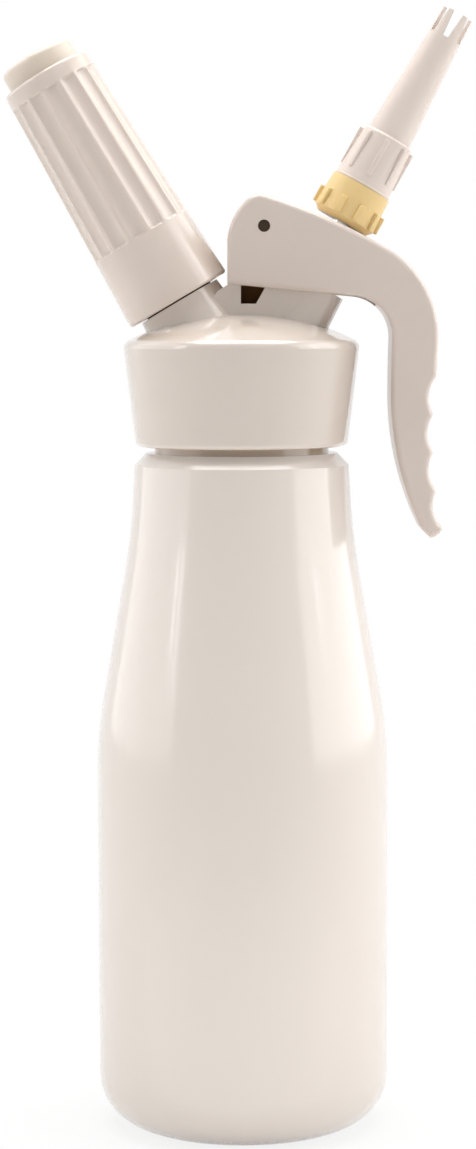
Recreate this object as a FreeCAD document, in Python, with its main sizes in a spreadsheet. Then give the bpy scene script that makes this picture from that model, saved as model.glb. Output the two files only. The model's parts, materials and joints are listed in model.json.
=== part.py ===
import FreeCAD, Part
import math
import os
import Sketcher
from FreeCAD import Placement, Rotation, Vector

# Whipped cream dispenser, half-litre class, in millimetres and degrees.
# The origin is the centre of the bottle's flat base; +Z is up and +X points to the lever.
# The charger's line leans to -X and the valve's line to +X; both start on the bottle's axis,
# and heights of the pieces on them are measured along them from there.
# Heights on the head and lever, and those two starts, are measured from the bottle's mouth.

SIZES = [
    # bottle
    ("bottle_radius", 41.0),
    ("bottle_wall", 1.6),
    ("base_thickness", 2.2),
    ("base_corner", 14.1),
    ("shoulder_start", 100.0),
    ("shoulder_lean", 9.9),
    ("shoulder_bend", 128.0),
    ("shoulder_run", 36.6),
    ("collar_lean", 3.2),
    ("collar_bend", 170.0),
    ("collar_run", 9.0),
    ("collar_ledge", 3.2),
    ("collar_drop", 3.4),
    ("neck_radius", 24.4),
    ("neck_wall", 2.6),
    ("neck_height", 20.0),
    # head
    ("rim_gap", 1.9),
    ("rim_radius", 29.9),
    ("rim_round", 1.6),
    ("skirt_height", 27.3),
    ("skirt_radius", 33.0),
    ("skirt_round", 2.6),
    ("skirt_turn", 63.0),
    ("dome_rise", 7.6),
    ("thread_depth", 1.1),
    ("thread_clearance", 0.4),
    ("gasket_thickness", 1.8),
    ("gasket_width", 3.4),
    ("face_clearance", 0.05),
    # inlet stub and connector
    ("charger_lean", 30.4),
    ("charger_axis_height", -7.19),
    ("inlet_stub_radius", 12.2),
    ("inlet_stub_foot", 13.6),
    ("inlet_stub_start", 20.0),
    ("inlet_stub_top", 34.1),
    ("inlet_face", 16.0),
    ("inlet_recess", 7.2),
    ("shank_radius", 5.0),
    ("shank_tail", 0.6),
    ("drum_radius", 10.1),
    ("drum_length", 11.0),
    ("drum_flange", 1.6),
    ("drum_groove", 0.7),
    ("inlet_gasket_thickness", 1.0),
    ("recess_radius", 5.0),
    ("recess_depth", 6.7),
    ("inlet_nut_radius", 6.3),
    ("inlet_nut_height", 3.6),
    ("check_bore", 3.0),
    ("check_bore_length", 17.0),
    ("gas_hole", 0.7),
    ("poppet_clearance", 0.1),
    ("poppet_length", 4.6),
    ("check_plug_length", 3.2),
    ("needle_radius", 1.1),
    ("needle_base", 1.8),
    ("needle_length", 7.4),
    ("charger_seal_thickness", 2.4),
    # charger and its holder
    ("charger_length", 65.6),
    ("charger_radius", 9.3),
    ("charger_wall", 1.2),
    ("charger_neck", 3.7),
    ("charger_neck_length", 8.0),
    ("charger_slope", 6.4),
    ("charger_end_round", 7.4),
    ("cup_clearance", 0.3),
    ("cup_wall", 1.1),
    ("cup_skirt_wall", 1.7),
    ("cup_end", 3.2),
    ("cup_round", 1.8),
    ("mouth_gap", 0.4),
    ("sleeve_length", 72.5),
    ("sleeve_foot_radius", 15.45),
    ("sleeve_top_radius", 12.9),
    ("sleeve_round", 1.6),
    ("mouth_round", 0.9),
    ("flute_foot", 20.5),
    ("flute_top", 4.7),
    ("flute_count", 16.0),
    ("flute_radius", 4.6),
    ("flute_depth", 0.85),
    # bracket
    ("valve_lean", 29.4),
    ("valve_axis_height", -5.69),
    ("bracket_width", 17.2),
    ("bracket_reach", 2.3),
    ("bracket_flare", 0.8),
    ("bracket_foot", 20.0),
    ("bracket_top", 38.5),
    ("bracket_shelf", 8.5),
    ("bracket_back", -14.0),
    ("bracket_back_foot", 11.81),
    ("bracket_heel", -6.6),
    ("bracket_heel_height", 25.01),
    ("bracket_waist_height", 29.81),
    ("window_left", -0.1),
    ("window_width", 4.2),
    ("window_floor", 21.51),
    ("window_height", 7.0),
    ("window_depth", 13.8),
    ("ear_radius", 5.0),
    ("ear_clearance", 0.9),
    ("pin_radius", 1.65),
    ("pin_across", 6.35),
    ("pin_height", 42.81),
    ("pin_clearance", 0.05),
    ("pin_recess", 1.0),
    # valve
    ("valve_face", 14.0),
    ("valve_recess", 6.9),
    ("passage_radius", 4.7),
    ("guide_foot", 20.0),
    ("guide_radius", 6.0),
    ("guide_wall", 1.4),
    ("bush_length", 4.5),
    ("bush_flange", 1.4),
    ("bush_flange_radius", 7.6),
    ("stem_radius", 2.6),
    ("stem_clearance", 0.06),
    ("stem_bore", 1.5),
    ("stem_top", 63.6),
    ("port_height", 18.5),
    ("port_radius", 1.1),
    ("shoulder_radius", 3.6),
    ("piston_height", 23.0),
    ("piston_length", 3.2),
    ("ring_wire", 1.5),
    ("valve_seal_radius", 5.8),
    ("valve_seal_thickness", 2.0),
    ("seal_nut_radius", 4.8),
    ("seal_nut_height", 3.0),
    ("washer_radius", 7.0),
    ("washer_thickness", 2.4),
    ("washer_height", 48.8),
    ("spring_wire", 1.0),
    ("spring_radius", 5.2),
    ("spring_turns", 3.0),
    ("check_wire", 0.5),
    ("check_spring_radius", 2.2),
    ("check_turns", 6.0),
    ("coil_gap", 0.45),
    # lever
    ("lever_width", 23.0),
    ("lever_wall", 2.5),
    ("lever_roof", 2.6),
    ("lever_roof_lean", 26.0),
    ("lever_heel", -3.8),
    ("lever_heel_foot", 26.91),
    ("lever_heel_top", 39.01),
    ("lever_crown", 6.6),
    ("lever_crown_height", 51.31),
    ("crown_side", 1.9),
    ("crown_side_height", 50.31),
    ("lever_brow", 40.2),
    ("lever_brow_height", 36.71),
    ("lever_roof_bend", 160.0),
    ("lever_knuckle", 54.4),
    ("lever_knuckle_height", 10.81),
    ("grip_top", 1.41),
    ("grip_pitch", 10.5),
    ("grip_scallops", 4.0),
    ("grip_middle", 1.5),
    ("grip_front", 53.0),
    ("grip_sweep", 0.42),
    ("grip_bend", 9.2),
    ("tip_foot", 52.3),
    ("tip_foot_height", -43.39),
    ("tip_bend", 3.6),
    ("tip_heel", 49.8),
    ("tip_heel_height", -40.99),
    ("grip_back", 41.3),
    ("grip_back_height", -4.19),
    ("throat_side", 41.6),
    ("throat_side_height", 11.81),
    ("throat_top", 31.4),
    ("throat_top_height", 23.51),
    ("channel_end", 36.0),
    ("slot_clearance", 1.1),
    ("slot_run", 3.2),
    ("nib_radius", 1.5),
    ("nib_clearance", 0.15),
    ("ridge_round", 1.8),
    ("edge_round", 1.5),
    # nozzle
    ("holder_foot", 57.0),
    ("holder_height", 11.4),
    ("holder_radius", 9.2),
    ("holder_top_radius", 8.7),
    ("holder_chamfer", 1.6),
    ("holder_bar_length", 4.6),
    ("holder_bar_width", 1.4),
    ("holder_bar_rise", 0.45),
    ("holder_bar_start", 1.7),
    ("holder_bars", 10.0),
    ("stud_radius", 6.2),
    ("stud_height", 6.6),
    ("stud_bore", 2.9),
    ("tip_seal_thickness", 1.1),
    ("tip_gap", 0.3),
    ("tip_base_length", 14.6),
    ("tip_base_radius", 8.25),
    ("tip_base_top", 7.35),
    ("tip_step", 0.7),
    ("tip_spout_radius", 6.45),
    ("tip_end_radius", 4.35),
    ("tip_end", 122.6),
    ("tip_wall", 0.95),
    ("tooth_length", 7.4),
    ("tooth_slot_foot", 1.5),
    ("tooth_slot_mouth", 3.0),
    ("tooth_count", 6.0),
    ("rib_count", 8.0),
    ("rib_width", 1.3),
    ("rib_radius", 8.0),
    ("rib_length", 11.0),
    # drawing aids: cuts run this far past a face, or clear of the whole piece, and lean lines are this long
    ("overcut", 1.0),
    ("far_cut", 20.0),
    ("axis_length", 50.0),
]

doc = FreeCAD.newDocument("Dispenser")
sheet = doc.addObject("Spreadsheet::Sheet", "Sizes")
for row, (alias, value) in enumerate(SIZES, start=1):
    sheet.set(f"A{row}", alias)
    sheet.set(f"B{row}", str(value))
    sheet.setAlias(f"B{row}", alias)
doc.recompute()


class Size:
    """A length or number: its value now and its expression on the sheet."""

    def __init__(self, text, value):
        self.text = text
        self.value = value

    @staticmethod
    def of(other):
        if isinstance(other, Size):
            return other
        return Size(f"({other})", float(other))

    def __add__(self, other):
        other = Size.of(other)
        return Size(f"({self.text} + {other.text})", self.value + other.value)

    def __sub__(self, other):
        other = Size.of(other)
        return Size(f"({self.text} - {other.text})", self.value - other.value)

    def __mul__(self, other):
        other = Size.of(other)
        return Size(f"({self.text} * {other.text})", self.value * other.value)

    def __truediv__(self, other):
        other = Size.of(other)
        return Size(f"({self.text} / {other.text})", self.value / other.value)

    def __neg__(self):
        return Size(f"(0 - {self.text})", -self.value)

    def __radd__(self, other):
        return Size.of(other) + self

    def __rsub__(self, other):
        return Size.of(other) - self

    def __rmul__(self, other):
        return Size.of(other) * self


SMOOTH = "smooth"
# a spring's arcs are laid by quarter turns, and its gap is measured from points over 3/4 of a turn apart
TURN_STEPS = 4
TURN_SAMPLES = 40
NEXT_TURN = 30
NUT_SIDES = 6
# how near a found edge or point lies to the place it is known by
NEAR_PLACE = 0.5
SAME_PLACE = 1e-4


def size(alias):
    return Size(f"Sizes.{alias}", float(getattr(sheet, alias)))


def sine(angle):
    return Size(f"sin({angle.text} * 1 deg)", math.sin(math.radians(angle.value)))


def cosine(angle):
    return Size(f"cos({angle.text} * 1 deg)", math.cos(math.radians(angle.value)))


def root(number):
    return Size(f"sqrt({number.text})", math.sqrt(number.value))


def origin_part(body, role):
    return next(part for part in body.Origin.OriginFeatures if part.Role == role)


def new_body(label):
    body = doc.addObject("PartDesign::Body", label)
    body.Label = label
    return body


def lean_body(body, lean, height):
    """Stands a body that was drawn along Z on a line that leans from the bottle's axis."""
    body.Placement = Placement(Vector(0, 0, height.value), Rotation(Vector(0, 1, 0), lean.value))
    body.setExpression("Placement.Base.z", height.text)
    body.setExpression("Placement.Rotation.Angle", f"{lean.text} * 1 deg")


def arc_geometry(start, end, radius):
    """An arc from start to end; a positive radius turns left on the way, a negative one right."""
    chord = end - start
    middle = (start + end) * 0.5
    left = Vector(-chord.y, chord.x, 0).normalize()
    reach = math.sqrt(max(radius * radius - chord.Length ** 2 / 4.0, 0.0))
    side = 1.0 if radius > 0 else -1.0
    centre = middle + left * (side * reach)
    first, last = (start, end) if radius > 0 else (end, start)
    from_angle = math.atan2(first.y - centre.y, first.x - centre.x)
    to_angle = math.atan2(last.y - centre.y, last.x - centre.x)
    if to_angle < from_angle:
        to_angle += 2 * math.pi
    circle = Part.Circle(centre, Vector(0, 0, 1), abs(radius))
    return Part.ArcOfCircle(circle, from_angle, to_angle)


def draw(body, name, outline, axis=None, plane="XZ_Plane"):
    """A closed sketch of points (x, y), where (x, y, radius) starts an arc to the next point.

    SMOOTH in place of a radius makes the arc run on from the piece before it without a kink.
    """
    sketch = body.newObject("Sketcher::SketchObject", name)
    sketch.AttachmentSupport = [(origin_part(body, plane), "")]
    sketch.MapMode = "FlatFace"
    points = [tuple(part if part is SMOOTH else Size.of(part) for part in corner) for corner in outline]
    places = [Vector(corner[0].value, corner[1].value, 0) for corner in points]
    ends = []
    heading = Vector(0, 0, 0)
    for index, corner in enumerate(points):
        start = places[index]
        end = places[(index + 1) % len(points)]
        chord = end - start
        if len(corner) == 2:
            geometry = sketch.addGeometry(Part.LineSegment(start, end), False)
            ends.append((geometry, 1, 2))
            heading = chord
            continue
        if corner[2] is SMOOTH:
            heading.normalize()
            left = Vector(-heading.y, heading.x, 0)
            radius = chord.dot(chord) / (2 * chord.dot(left))
        else:
            radius = corner[2].value
        arc = arc_geometry(start, end, radius)
        geometry = sketch.addGeometry(arc, False)
        ends.append((geometry, 1, 2) if radius > 0 else (geometry, 2, 1))
        spoke = (end - arc.Center) * (1 if radius > 0 else -1)
        heading = Vector(-spoke.y, spoke.x, 0)
    for index, (geometry, first, last) in enumerate(ends):
        number = (index + 1) % len(ends)
        kind = "Tangent" if SMOOTH in points[number] else "Coincident"
        sketch.addConstraint(Sketcher.Constraint(kind, geometry, last, ends[number][0], ends[number][1]))
    for index, corner in enumerate(points):
        geometry, first, last = ends[index]
        fix_point(sketch, geometry, first, corner[0], corner[1])
        if len(corner) == 3 and corner[2] is not SMOOTH:
            radius = corner[2] if corner[2].value > 0 else -corner[2]
            number = sketch.addConstraint(Sketcher.Constraint("Radius", geometry, radius.value))
            sketch.setExpression(f"Constraints[{number}]", radius.text)
    if axis:
        line = sketch.addGeometry(Part.LineSegment(*[Vector(x.value, y.value, 0) for x, y in axis]), True)
        for end, (x, y) in enumerate(axis, start=1):
            fix_point(sketch, line, end, x, y)
    return sketch


def fix_point(sketch, geometry, end, x, y):
    for kind, value in (("DistanceX", x), ("DistanceY", y)):
        number = sketch.addConstraint(Sketcher.Constraint(kind, -1, 1, geometry, end, value.value))
        sketch.setExpression(f"Constraints[{number}]", value.text)


def revolve(body, sketch, name, kind="PartDesign::Revolution", axis="V_Axis"):
    feature = body.newObject(kind, name)
    feature.Profile = sketch
    feature.ReferenceAxis = (sketch, [axis])
    feature.Angle = 360
    return feature


def turned(label, outline):
    """A turned piece: an outline of (radius, height) points, spun about its own Z axis."""
    body = new_body(label)
    revolve(body, draw(body, f"{label}_outline", outline), f"{label}_turned")
    return body


def groove(body, name, outline, axis="V_Axis", line=None):
    sketch = draw(body, f"{name}_outline", outline, line)
    return revolve(body, sketch, name, "PartDesign::Groove", axis)


def extrude(body, sketch, name, length, kind="PartDesign::Pad", back=False, centred=False):
    feature = body.newObject(kind, name)
    feature.Profile = sketch
    feature.Length = length.value
    feature.setExpression("Length", length.text)
    feature.Midplane = centred
    feature.Reversed = back
    return feature


def around(body, feature, name, count):
    """Repeats a feature about the body's own Z axis."""
    pattern = body.newObject("PartDesign::PolarPattern", name)
    pattern.Originals = [feature]
    pattern.Axis = (origin_part(body, "Z_Axis"), [""])
    pattern.Angle = 360
    pattern.Occurrences = int(count.value)
    pattern.setExpression("Occurrences", count.text)
    body.Tip = pattern
    return pattern


def round_edges(body, base, name, radius, wanted):
    """Rounds the edges of a body's last feature that a test picks out."""
    doc.recompute()
    edges = [f"Edge{number}" for number, edge in enumerate(base.Shape.Edges, start=1) if wanted(edge)]
    feature = body.newObject("PartDesign::Fillet", name)
    feature.Base = (base, edges)
    feature.Radius = radius.value
    feature.setExpression("Radius", radius.text)
    return feature


def ring(inner, outer, low, high):
    return [(inner, low), (outer, low), (outer, high), (inner, high)]


def disc(radius, low, high):
    return [(0, low), (radius, low), (radius, high), (0, high)]


def leaning(lean, height, across, along):
    """A point of the drawing plane given across and along a line that leans from the axis."""
    x = across * cosine(lean) + along * sine(lean)
    z = height - across * sine(lean) + along * cosine(lean)
    return x, z


def leaning_outline(lean, height, outline):
    return [leaning(lean, height, Size.of(across), Size.of(along)) for across, along in outline]


def spring_shape(radius, wire, turns, foot, top):
    """One unbroken wire: closed end turns, laid as two tangent arcs to each quarter turn."""
    lead = wire + size("coil_gap").value
    free_rise = (top - foot) - wire - 2 * lead
    total = turns + 2.0

    def rise(turn):
        if turn < 1:
            return lead * turn
        if turn > turns + 1:
            return lead + free_rise + lead * (turn - turns - 1)
        share = (turn - 1) / turns
        return lead + free_rise * share

    def slope(turn):
        middle = free_rise / turns
        nearness = min(abs(turn - 1), abs(turn - turns - 1))
        inside = 1 < turn < turns + 1
        if nearness < SAME_PLACE:
            return (middle + lead) / 2
        return middle if inside else lead

    def place(turn):
        angle = 2 * math.pi * turn
        return Vector(radius * math.cos(angle), radius * math.sin(angle), foot + wire / 2 + rise(turn))

    def heading(turn):
        angle = 2 * math.pi * turn
        way = Vector(-math.sin(angle), math.cos(angle), slope(turn) / (2 * math.pi * radius))
        return way.normalize()

    edges = []
    for step in range(int(round(total * TURN_STEPS))):
        turn, after = step / TURN_STEPS, (step + 1) / TURN_STEPS
        start, end = place(turn), place(after)
        out, into = heading(turn), heading(after)
        middle, way = biarc_joint(start, out, end, into)
        edges.append(tangent_arc(start, out, middle))
        edges.append(tangent_arc(middle, way, end))
    path = Part.Wire(edges)
    face = Part.Wire([Part.Circle(place(0), heading(0), wire / 2).toShape()])
    shell = path.makePipeShell([face], True, False)
    samples = [place(sample / TURN_SAMPLES) for sample in range(int(total * TURN_SAMPLES) + 1)]
    least = min(
        (samples[first] - samples[second]).Length - wire
        for first in range(len(samples))
        for second in range(first + NEXT_TURN, len(samples))
    )
    print(f"spring of wire {wire}: least gap between turns {least:.2f} mm, path {path.Length:.1f} mm,"
          f" volume {shell.Volume:.2f} of {math.pi * wire * wire / 4 * path.Length:.2f}")
    return shell


def biarc_joint(start, out, end, into):
    chord = end - start
    both = out + into
    spread = 2 * (1 - out.dot(into))
    straight = chord.dot(both)
    reach = (math.sqrt(straight * straight + spread * chord.dot(chord)) - straight) / spread
    first = start + out * reach
    second = end - into * reach
    return (first + second) * 0.5, (second - first).normalize()


def tangent_arc(start, out, end):
    chord = end - start
    along = chord.Length
    line = chord * (1 / along)
    aside = out - line * out.dot(line)
    turn = math.asin(min(1.0, aside.Length))
    aside.normalize()
    middle = (start + end) * 0.5 + aside * (along / 2 * math.tan(turn / 2))
    return Part.Arc(start, middle, end).toShape()


face_gap = size("face_clearance")
overcut, far_cut = size("overcut"), size("far_cut")


# Bottle: outer wall from the base to the mouth, and the same wall shifted inwards on the way down.
lean, fall = size("shoulder_lean"), size("collar_lean")
bend, sweep = size("shoulder_bend"), size("collar_bend")
radius, wall, corner = size("bottle_radius"), size("bottle_wall"), size("base_corner")
shoulder_foot = size("shoulder_start")
belly = (radius - bend * (1 - cosine(lean)), shoulder_foot + bend * sine(lean))
throat = (belly[0] - size("shoulder_run") * sine(lean), belly[1] + size("shoulder_run") * cosine(lean))
nape = (throat[0] - sweep * (cosine(fall) - cosine(lean)), throat[1] + sweep * (sine(lean) - sine(fall)))
edge = (nape[0] - size("collar_run") * sine(fall), nape[1] + size("collar_run") * cosine(fall))
ledge = (edge[0] - size("collar_ledge"), edge[1] + size("collar_drop"))
neck, mouth = size("neck_radius"), ledge[1] + size("neck_height")
bore = neck - size("neck_wall")
inner_corner, floor = corner - wall, size("base_thickness")
bottle = turned("bottle", [
    (0, 0),
    (radius - corner, 0, corner),
    (radius, corner),
    (radius, shoulder_foot, bend),
    (belly[0], belly[1]),
    (throat[0], throat[1], -sweep),
    (nape[0], nape[1]),
    (edge[0], edge[1]),
    (ledge[0], ledge[1]),
    (neck, ledge[1]),
    (neck, mouth),
    (bore, mouth),
    (bore, ledge[1] - wall),
    (edge[0] - wall, edge[1] - wall),
    (nape[0] - wall, nape[1], sweep),
    (throat[0] - wall, throat[1]),
    (belly[0] - wall, belly[1], -bend),
    (radius - wall, shoulder_foot),
    (radius - wall, floor + inner_corner, -inner_corner),
    (radius - wall - inner_corner, floor),
    (0, floor),
])


def above(alias):
    """A height that the sheet gives from the bottle's mouth."""
    return mouth + size(alias)


charger_lean, charger_height = -size("charger_lean"), above("charger_axis_height")
valve_lean, valve_height = size("valve_lean"), above("valve_axis_height")

# Head: skirt and dome, then the inlet stub, the lever's bracket, the valve stub and the bores.
gasket_foot = mouth + face_gap
ceiling = gasket_foot + size("gasket_thickness") + face_gap
rim, rim_radius, rim_round = ledge[1] + size("rim_gap"), size("rim_radius"), size("rim_round")
skirt, skirt_round, turn = size("skirt_radius"), size("skirt_round"), size("skirt_turn")
skirt_top = rim + size("skirt_height")
dome_edge = (skirt - skirt_round * (1 - cosine(turn)), skirt_top + skirt_round * sine(turn))
dome_rise = size("dome_rise")
dome_bend = (dome_edge[0] * dome_edge[0] + dome_rise * dome_rise) / (2 * dome_rise)
cavity = neck + size("thread_depth") + size("thread_clearance")
head = turned("head_body", [
    (cavity, rim),
    (rim_radius - rim_round, rim, rim_round),
    (rim_radius, rim + rim_round),
    (skirt, skirt_top, skirt_round),
    (dome_edge[0], dome_edge[1], dome_bend),
    (0, dome_edge[1] + dome_rise),
    (0, ceiling),
    (cavity, ceiling),
])

line_ends = (Size.of(0), size("axis_length"))
inlet_line = [leaning(charger_lean, charger_height, Size.of(0), along) for along in line_ends]
valve_line = [leaning(valve_lean, valve_height, Size.of(0), along) for along in line_ends]
stub_top = size("inlet_stub_top")
stub = leaning_outline(charger_lean, charger_height, [
    (0, size("inlet_stub_start")),
    (size("inlet_stub_foot"), size("inlet_stub_start")),
    (size("inlet_stub_radius"), stub_top),
    (0, stub_top),
])
revolve(head, draw(head, "inlet_stub_outline", stub, inlet_line), "inlet_stub", axis="Axis0")

half_bracket = size("bracket_width") / 2
bracket_top, bracket_foot = size("bracket_top"), size("bracket_foot")
reach = size("bracket_reach")
pin_x, pin_z, ear = size("pin_across"), above("pin_height"), size("ear_radius")
bracket = draw(head, "bracket_outline", [
    (size("bracket_back"), above("bracket_back_foot")),
    leaning(valve_lean, valve_height, reach, bracket_foot),
    leaning(valve_lean, valve_height, reach, bracket_top),
    leaning(valve_lean, valve_height, -size("bracket_shelf"), bracket_top),
    (pin_x + ear, pin_z, ear),
    (pin_x, pin_z + ear, ear),
    (pin_x - ear, pin_z),
    (pin_x - ear, above("bracket_waist_height")),
    (size("bracket_heel"), above("bracket_heel_height")),
])
extrude(head, bracket, "bracket", size("bracket_width"), centred=True)

round_end = leaning_outline(valve_lean, valve_height, [
    (reach, bracket_foot),
    (reach + half_bracket + size("bracket_flare"), bracket_foot),
    (reach + half_bracket, bracket_top),
    (reach, bracket_top),
])
end_line = [leaning(valve_lean, valve_height, reach, along) for along in line_ends]
revolve(head, draw(head, "valve_stub_outline", round_end, end_line), "valve_stub", axis="Axis0")

window = size("window_left"), above("window_floor")
window_top = window[1] + size("window_height")
window_slope = size("window_height") * sine(valve_lean) / cosine(valve_lean)
window_sketch = draw(head, "window_outline", [
    window,
    (window[0] + size("window_width"), window[1]),
    (window[0] + size("window_width") + window_slope, window_top),
    (window[0], window_top),
])
window_sketch.setExpression("AttachmentOffset.Base.z", half_bracket.text)
extrude(head, window_sketch, "window", size("window_depth"), "PartDesign::Pocket")

pin_radius = size("pin_radius")


def pin_hole(body, name, radius, width):
    sketch = draw(body, f"{name}_outline", round_section(pin_x, pin_z, radius))
    return extrude(body, sketch, name, width, "PartDesign::Pocket", centred=True)


def round_section(x, z, radius):
    """A full circle as four arcs."""
    corners = [(x, z - radius), (x + radius, z), (x, z + radius), (x - radius, z)]
    return [(across, up, radius) for across, up in corners]


pin_hole(head, "pin_hole", pin_radius, size("bracket_width") + 2 * overcut)

shank, inlet_face = size("shank_radius"), size("inlet_face")
inlet_bore = leaning_outline(charger_lean, charger_height, [
    (0, 0),
    (size("inlet_recess"), 0),
    (size("inlet_recess"), inlet_face),
    (shank, inlet_face),
    (shank, stub_top + overcut),
    (0, stub_top + overcut),
])
groove(head, "inlet_bore", inlet_bore, "Axis0", inlet_line)
valve_face, passage = size("valve_face"), size("passage_radius")
guide_foot, guide_radius = size("guide_foot"), size("guide_radius")
valve_bore = leaning_outline(valve_lean, valve_height, [
    (0, 0),
    (size("valve_recess"), 0),
    (size("valve_recess"), valve_face),
    (passage, valve_face),
    (passage, guide_foot),
    (guide_radius, guide_foot),
    (guide_radius, bracket_top + overcut),
    (0, bracket_top + overcut),
])
groove(head, "valve_bore", valve_bore, "Axis0", valve_line)

turned("head_gasket", ring(bore, bore + size("gasket_width"), gasket_foot, ceiling - face_gap))

hinge_pin = doc.addObject("Part::Cylinder", "hinge_pin")
pin_length = size("lever_width") - 2 * size("pin_recess")
hinge_pin.setExpression("Radius", pin_radius.text)
hinge_pin.setExpression("Height", pin_length.text)
hinge_pin.Placement = Placement(Vector(0, 0, 0), Rotation(Vector(1, 0, 0), 90))
for way, place in (("x", pin_x), ("y", pin_length / 2), ("z", pin_z)):
    hinge_pin.setExpression(f"Placement.Base.{way}", place.text)


def charger_piece(label, outline):
    body = turned(label, outline)
    lean_body(body, charger_lean, charger_height)
    return body


def valve_piece(label, outline):
    body = turned(label, outline)
    lean_body(body, valve_lean, valve_height)
    return body


# Inlet connector: shank through the stub, drum for the holder's thread and a recess for the seal.
drum, drum_foot = size("drum_radius"), stub_top + size("inlet_gasket_thickness")
drum_top = drum_foot + size("drum_length")
recess, recess_floor = size("recess_radius"), drum_top - size("recess_depth")
nut_foot = inlet_face - size("inlet_nut_height")
shank_foot = nut_foot - size("shank_tail")
check_bore, gas_hole = size("check_bore"), size("gas_hole")
check_top = shank_foot + size("check_bore_length")
charger_piece("inlet_connector", [
    (check_bore, shank_foot),
    (shank, shank_foot),
    (shank, drum_foot),
    (drum, drum_foot),
    (drum, drum_foot + size("drum_flange")),
    (drum - size("drum_groove"), drum_foot + size("drum_flange") + size("drum_groove")),
    (drum - size("drum_groove"), drum_foot + size("drum_flange") + 2 * size("drum_groove")),
    (drum, drum_foot + size("drum_flange") + 3 * size("drum_groove")),
    (drum, drum_top - size("drum_groove")),
    (drum - size("drum_groove"), drum_top),
    (recess, drum_top),
    (recess, recess_floor),
    (gas_hole, recess_floor),
    (gas_hole, check_top),
    (check_bore, check_top),
])
charger_piece("inlet_gasket", ring(shank, drum, stub_top, drum_foot))


def six_sided(label, corner_radius, hole_radius, foot, height, lean, axis_height):
    """A hexagonal nut with a plain hole, on a leaning line."""
    body = new_body(label)
    angles = [Size.of(360 * side / NUT_SIDES) for side in range(NUT_SIDES)]
    corners = [(corner_radius * cosine(angle), corner_radius * sine(angle)) for angle in angles]
    sketch = draw(body, f"{label}_outline", corners, plane="XY_Plane")
    sketch.setExpression("AttachmentOffset.Base.z", foot.text)
    extrude(body, sketch, f"{label}_block", height)
    groove(body, f"{label}_hole", disc(hole_radius, foot - overcut, foot + height + overcut))
    lean_body(body, lean, axis_height)
    return body


six_sided("inlet_nut", size("inlet_nut_radius"), shank, nut_foot, size("inlet_nut_height"),
          charger_lean, charger_height)

needle, needle_base = size("needle_radius"), size("needle_base")
charger_piece("piercing_pin", [
    (gas_hole, recess_floor),
    (recess, recess_floor),
    (recess, recess_floor + needle_base),
    (needle, recess_floor + needle_base),
    (needle, recess_floor + size("needle_length") - needle),
    (gas_hole, recess_floor + size("needle_length")),
])
seal_foot = recess_floor + needle_base
seal_top = seal_foot + size("charger_seal_thickness")
charger_piece("charger_seal", ring(needle, recess, seal_foot, seal_top))

plug_foot = shank_foot
plug_top = plug_foot + size("check_plug_length")
charger_piece("check_valve_plug", ring(gas_hole, check_bore, plug_foot, plug_top))
poppet_gap = size("poppet_clearance")
poppet_foot = check_top - poppet_gap - size("poppet_length")
poppet = check_bore - poppet_gap
charger_piece("check_valve_poppet", [
    (0, poppet_foot),
    (poppet, poppet_foot),
    (poppet, check_top - poppet_gap - poppet / 2),
    (poppet / 2, check_top - poppet_gap),
    (0, check_top - poppet_gap),
])

# Gas charger: a hollow steel bulb, neck down on the seal and already pierced by the needle.
neck_foot = seal_top + face_gap
charger, charger_wall = size("charger_radius"), size("charger_wall")
charger_neck, end_round = size("charger_neck"), size("charger_end_round")
slope_foot = neck_foot + size("charger_neck_length")
slope_top = slope_foot + size("charger_slope")
charger_end = neck_foot + size("charger_length")
pierced = needle + size("cup_clearance")
charger_piece("gas_charger", [
    (pierced, neck_foot),
    (charger_neck, neck_foot),
    (charger_neck, slope_foot),
    (charger, slope_top),
    (charger, charger_end - end_round, end_round),
    (charger - end_round, charger_end),
    (0, charger_end),
    (0, charger_end - charger_wall),
    (charger - end_round, charger_end - charger_wall, charger_wall - end_round),
    (charger - charger_wall, charger_end - end_round),
    (charger - charger_wall, slope_top + charger_wall / 2),
    (charger_neck - charger_wall, slope_foot + charger_wall / 2),
    (pierced, neck_foot + charger_wall),
])

# Charger holder: a cup with a wide threaded skirt, and a fluted sleeve over it.
cup_bore = charger + size("cup_clearance")
cup_radius, cup_round = cup_bore + size("cup_wall"), size("cup_round")
holder_foot = stub_top + size("mouth_gap")
cup_end = charger_end + size("cup_clearance")
cup_top = cup_end + size("cup_end")
skirt_bore = drum + size("thread_clearance")
skirt_wall = skirt_bore + size("cup_skirt_wall")
cup_step = drum_top + size("mouth_gap")
charger_piece("charger_cup", [
    (skirt_bore, holder_foot),
    (skirt_wall, holder_foot),
    (skirt_wall, cup_step),
    (cup_radius, cup_step + cup_round),
    (cup_radius, cup_top - cup_round, cup_round),
    (cup_radius - cup_round, cup_top),
    (0, cup_top),
    (0, cup_end),
    (cup_bore - end_round, cup_end, -end_round),
    (cup_bore, cup_end - end_round),
    (cup_bore, cup_step + cup_round),
    (skirt_bore, cup_step - size("mouth_gap")),
])


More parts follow.
